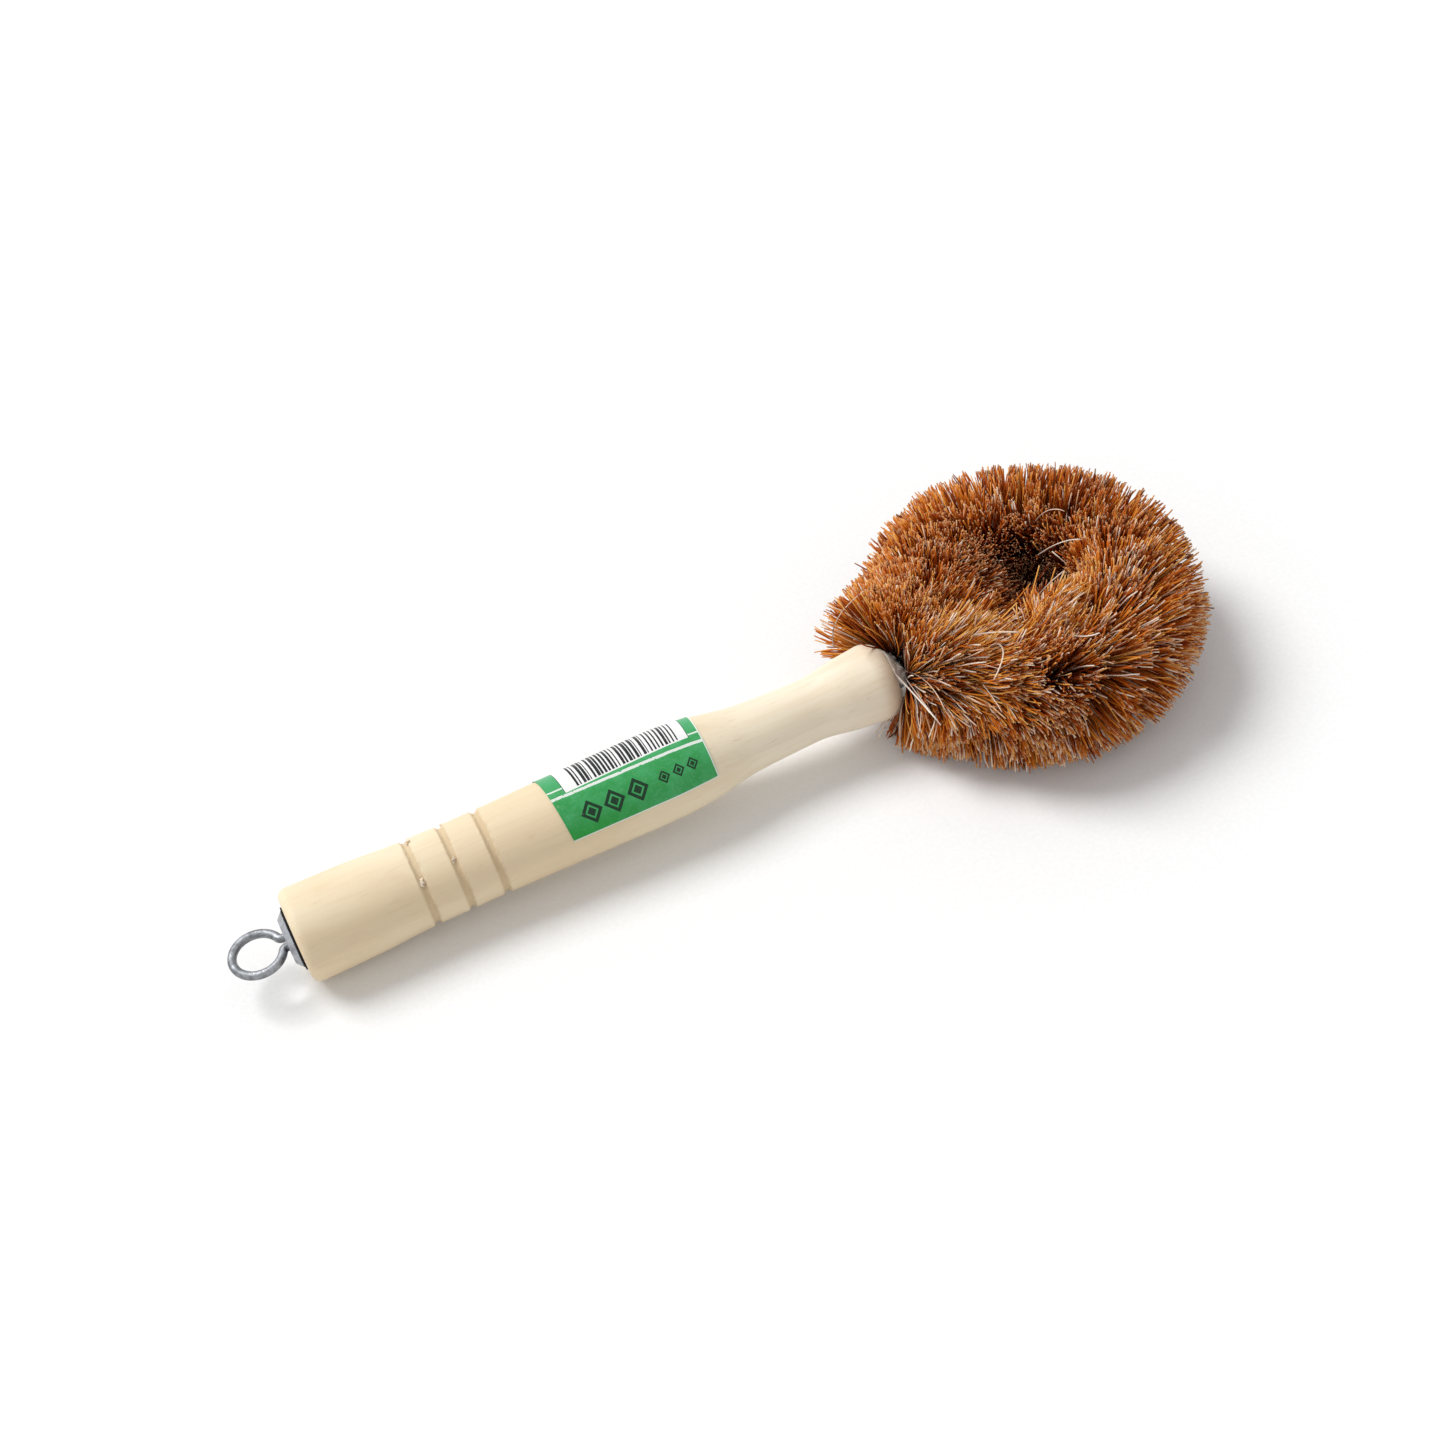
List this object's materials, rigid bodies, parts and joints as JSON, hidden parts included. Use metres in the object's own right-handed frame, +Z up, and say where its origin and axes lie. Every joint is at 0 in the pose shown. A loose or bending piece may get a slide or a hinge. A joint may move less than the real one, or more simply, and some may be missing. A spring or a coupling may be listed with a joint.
{
  "type": "pot brush",
  "caption": "Pot-scrubbing brush: palm fibre twisted into wire and bent to a ring, on a turned wooden handle with a wire hanging eye.",
  "frame": {"origin": "on the table under the middle of the brush as it lies: bottom centre of its box", "axes": "+X from the hanging eye to the head, +Z up from the table; the handle's axis rises 1.7 degrees towards the head, and the head's ring lies flat"},
  "size_m": [0.2708, 0.0946, 0.0384],
  "materials": {
    "handle_wood": "bare turned wood, sanded, fine straight grain",
    "galvanised_wire": "dull galvanised wire",
    "zinc_washer": "zinc-plated pressed steel",
    "clear_glue": "cloudy set glue",
    "label_film": "glossy printed film",
    "palm_fibre": "stiff palm fibre, paler at the cut ends"
  },
  "bodies": {
    "root": {"handle": "handle_wood", "twisted_wire": "galvanised_wire", "eye_washer": "zinc_washer", "glue_plug": "clear_glue", "label": "label_film", "bristles_01": "palm_fibre", "bristles_02": "palm_fibre", "bristles_03": "palm_fibre", "bristles_04": "palm_fibre", "bristles_05": "palm_fibre", "bristles_06": "palm_fibre", "bristles_07": "palm_fibre", "bristles_08": "palm_fibre", "bristles_09": "palm_fibre", "bristles_10": "palm_fibre", "bristles_11": "palm_fibre", "bristles_12": "palm_fibre", "bristles_13": "palm_fibre"}
  },
  "joints": []
}
